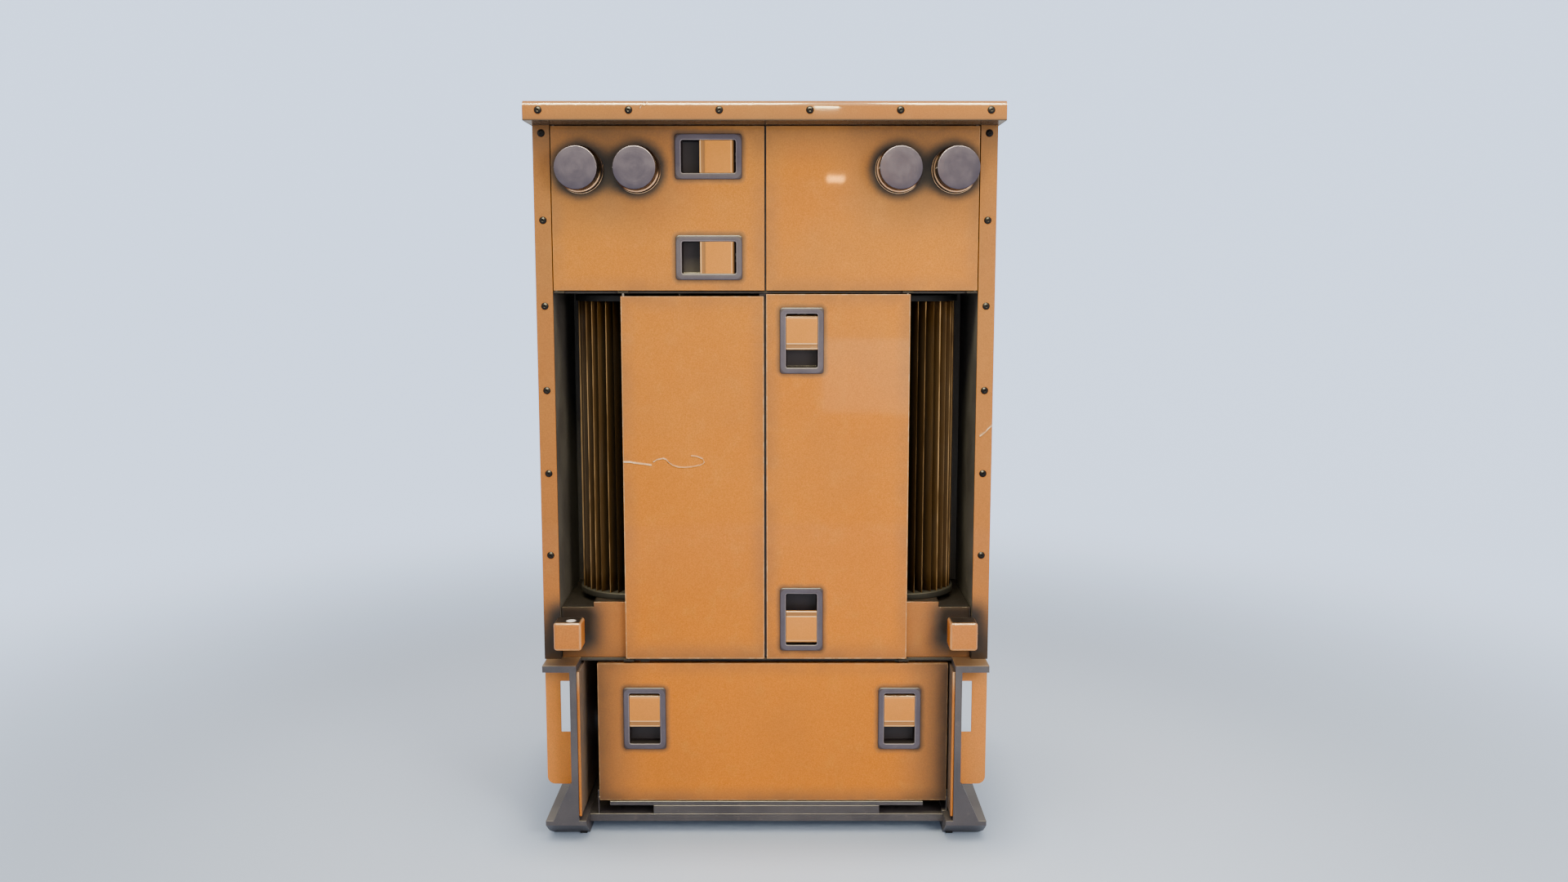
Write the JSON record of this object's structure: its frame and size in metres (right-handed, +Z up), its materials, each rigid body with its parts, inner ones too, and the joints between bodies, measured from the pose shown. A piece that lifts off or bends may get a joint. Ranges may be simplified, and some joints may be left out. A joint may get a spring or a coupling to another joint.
{
  "type": "street equipment cabinet",
  "caption": "Orange sheet-steel street cabinet on a steel skid, with latched hinged doors, pleated filter bays behind side slots, capped hose ports and a canopy roof.",
  "frame": {"origin": "on the floor, under the centre of the bounding box", "axes": "+Z up, front doors face -Y, +X to the right as seen from the front"},
  "size_m": [0.856, 0.607, 1.385],
  "materials": {
    "orange_paint": "semi-gloss powder coat, dirt in the corners",
    "dark_paint": "satin dark grey enamel",
    "inner_paint": "matt black-grey primer",
    "bezel_metal": "satin die casting, violet grey",
    "cap_metal": "polished dark steel",
    "screw_black": "black oxide",
    "plain_steel": "zinc plated",
    "spring_steel": "bright wire",
    "filter_paper": "resin-stiffened brown pleated media",
    "filter_cap_rubber": "moulded end cap",
    "seal_rubber": "matt",
    "magnet_block": "moulded case round a ferrite magnet"
  },
  "bodies": {
    "cabinet": {"apron_plates": "orange_paint", "bay_back_walls": "inner_paint", "bay_dividers": "inner_paint", "bay_side_walls": "inner_paint", "bay_sills": "orange_paint", "centre_posts": "dark_paint", "corner_buffers": "orange_paint", "corner_strips": "orange_paint", "deck_plate": "dark_paint", "dome_screws": "screw_black", "filter_cores": "plain_steel", "filter_end_caps": "filter_cap_rubber", "filter_media": "filter_paper", "filter_tie_rods": "plain_steel", "floor_spacer": "dark_paint", "hinge_pins": "plain_steel", "lower_side_plates": "orange_paint", "magnet_catches": "magnet_block", "main_floor": "inner_paint", "post_seals": "seal_rubber", "raised_floor": "dark_paint", "rear_panel": "orange_paint", "roof_cap": "orange_paint", "roof_soffit": "orange_paint", "runner_pads": "seal_rubber", "side_panels": "orange_paint", "skid_brackets": "dark_paint", "upper_shelf": "inner_paint"},
    "upper_left_leaf": {"door_upper_left": "orange_paint", "latch_pans_upper_left": "bezel_metal", "latch_pins_upper_left": "plain_steel", "latch_springs_upper_left": "spring_steel", "port_spigots_left": "cap_metal"},
    "upper_right_leaf": {"door_upper_right": "orange_paint", "port_spigots_right": "cap_metal"},
    "mid_left_leaf": {"door_mid_left": "orange_paint"},
    "mid_right_leaf": {"door_mid_right": "orange_paint", "latch_pans_mid_right": "bezel_metal", "latch_pins_mid_right": "plain_steel", "latch_springs_mid_right": "spring_steel"},
    "lower_leaf": {"door_lower": "orange_paint", "latch_pans_lower": "bezel_metal", "latch_pins_lower": "plain_steel", "latch_springs_lower": "spring_steel"},
    "paddle_upper_high": {"latch_paddle_upper_high": "orange_paint"},
    "bolt_upper_high": {"latch_bolt_upper_high": "plain_steel"},
    "paddle_upper_low": {"latch_paddle_upper_low": "orange_paint"},
    "bolt_upper_low": {"latch_bolt_upper_low": "plain_steel"},
    "paddle_mid_high": {"latch_paddle_mid_high": "orange_paint"},
    "bolt_mid_high": {"latch_bolt_mid_high": "plain_steel"},
    "paddle_mid_low": {"latch_paddle_mid_low": "orange_paint"},
    "bolt_mid_low": {"latch_bolt_mid_low": "plain_steel"},
    "paddle_lower_left": {"latch_paddle_lower_left": "orange_paint"},
    "bolt_lower_left": {"latch_bolt_lower_left": "plain_steel"},
    "paddle_lower_right": {"latch_paddle_lower_right": "orange_paint"},
    "bolt_lower_right": {"latch_bolt_lower_right": "plain_steel"},
    "cap_outer_left": {"port_cap_outer_left": "cap_metal"},
    "cap_inner_left": {"port_cap_inner_left": "cap_metal"},
    "cap_inner_right": {"port_cap_inner_right": "cap_metal"},
    "cap_outer_right": {"port_cap_outer_right": "cap_metal"}
  },
  "joints": [
    {"name": "upper_left_hinge", "type": "hinge", "parent": "cabinet", "child": "upper_left_leaf", "pos_m": [-0.3875, -0.2215, 1.2], "axis": [0, 0, -1], "range_deg": [0, 90]},
    {"name": "upper_right_hinge", "type": "hinge", "parent": "cabinet", "child": "upper_right_leaf", "pos_m": [0.3875, -0.2215, 1.2], "axis": [0, 0, 1], "range_deg": [0, 55]},
    {"name": "mid_left_hinge", "type": "hinge", "parent": "cabinet", "child": "mid_left_leaf", "pos_m": [-0.2641, -0.2215, 0.7], "axis": [0, 0, -1], "range_deg": [0, 110]},
    {"name": "mid_right_hinge", "type": "hinge", "parent": "cabinet", "child": "mid_right_leaf", "pos_m": [0.2641, -0.2215, 0.7], "axis": [0, 0, 1], "range_deg": [0, 110]},
    {"name": "lower_hinge", "type": "hinge", "parent": "cabinet", "child": "lower_leaf", "pos_m": [0.0124, -0.2215, 0.0695], "axis": [1, 0, 0], "range_deg": [0, 90]},
    {"name": "upper_high_paddle", "type": "hinge", "parent": "upper_left_leaf", "child": "paddle_upper_high", "pos_m": [-0.061, -0.219, 1.294], "axis": [0, 0, 1], "range_deg": [0, 40], "stiffness_Nm_per_rad": 0.25, "springref_deg": -22.92},
    {"name": "upper_high_bolt", "type": "slide", "parent": "upper_left_leaf", "child": "bolt_upper_high", "axis": [-1, 0, 0], "range_m": [0, 0.0094]},
    {"name": "upper_low_paddle", "type": "hinge", "parent": "upper_left_leaf", "child": "paddle_upper_low", "pos_m": [-0.061, -0.219, 1.111], "axis": [0, 0, 1], "range_deg": [0, 40], "stiffness_Nm_per_rad": 0.25, "springref_deg": -22.92},
    {"name": "upper_low_bolt", "type": "slide", "parent": "upper_left_leaf", "child": "bolt_upper_low", "axis": [-1, 0, 0], "range_m": [0, 0.0094]},
    {"name": "mid_high_paddle", "type": "hinge", "parent": "mid_right_leaf", "child": "paddle_mid_high", "pos_m": [0.0675, -0.219, 1.001], "axis": [-1, 0, 0], "range_deg": [0, 40], "stiffness_Nm_per_rad": 0.25, "springref_deg": -22.92},
    {"name": "mid_high_bolt", "type": "slide", "parent": "mid_right_leaf", "child": "bolt_mid_high", "axis": [0, 0, -1], "range_m": [0, 0.0094]},
    {"name": "mid_low_paddle", "type": "hinge", "parent": "mid_right_leaf", "child": "paddle_mid_low", "pos_m": [0.0675, -0.219, 0.3835], "axis": [1, 0, 0], "range_deg": [0, 40], "stiffness_Nm_per_rad": 0.25, "springref_deg": -22.92},
    {"name": "mid_low_bolt", "type": "slide", "parent": "mid_right_leaf", "child": "bolt_mid_low", "axis": [0, 0, 1], "range_m": [0, 0.0094]},
    {"name": "lower_left_paddle", "type": "hinge", "parent": "lower_leaf", "child": "paddle_lower_left", "pos_m": [-0.2345, -0.219, 0.273], "axis": [-1, 0, 0], "range_deg": [0, 40], "stiffness_Nm_per_rad": 0.25, "springref_deg": -22.92},
    {"name": "lower_left_bolt", "type": "slide", "parent": "lower_leaf", "child": "bolt_lower_left", "axis": [0, 0, -1], "range_m": [0, 0.0094]},
    {"name": "lower_right_paddle", "type": "hinge", "parent": "lower_leaf", "child": "paddle_lower_right", "pos_m": [0.257, -0.219, 0.273], "axis": [-1, 0, 0], "range_deg": [0, 40], "stiffness_Nm_per_rad": 0.25, "springref_deg": -22.92},
    {"name": "lower_right_bolt", "type": "slide", "parent": "lower_leaf", "child": "bolt_lower_right", "axis": [0, 0, -1], "range_m": [0, 0.0094]},
    {"name": "outer_left_cap_turn", "type": "hinge", "parent": "upper_left_leaf", "child": "cap_outer_left", "pos_m": [-0.3395, -0.225, 1.2705], "axis": [0, 1, 0], "range_deg": [-90, 0]},
    {"name": "inner_left_cap_turn", "type": "hinge", "parent": "upper_left_leaf", "child": "cap_inner_left", "pos_m": [-0.2345, -0.225, 1.2705], "axis": [0, 1, 0], "range_deg": [-90, 0]},
    {"name": "inner_right_cap_turn", "type": "hinge", "parent": "upper_right_leaf", "child": "cap_inner_right", "pos_m": [0.2445, -0.225, 1.2705], "axis": [0, 1, 0], "range_deg": [-90, 0]},
    {"name": "outer_right_cap_turn", "type": "hinge", "parent": "upper_right_leaf", "child": "cap_outer_right", "pos_m": [0.3475, -0.225, 1.2705], "axis": [0, 1, 0], "range_deg": [-90, 0]}
  ],
  "couplings": [
    {"joint": "upper_high_bolt", "follows": "upper_high_paddle", "m_per_rad": 0.013178},
    {"joint": "upper_low_bolt", "follows": "upper_low_paddle", "m_per_rad": 0.013178},
    {"joint": "mid_high_bolt", "follows": "mid_high_paddle", "m_per_rad": 0.013178},
    {"joint": "mid_low_bolt", "follows": "mid_low_paddle", "m_per_rad": 0.013178},
    {"joint": "lower_left_bolt", "follows": "lower_left_paddle", "m_per_rad": 0.013178},
    {"joint": "lower_right_bolt", "follows": "lower_right_paddle", "m_per_rad": 0.013178}
  ]
}
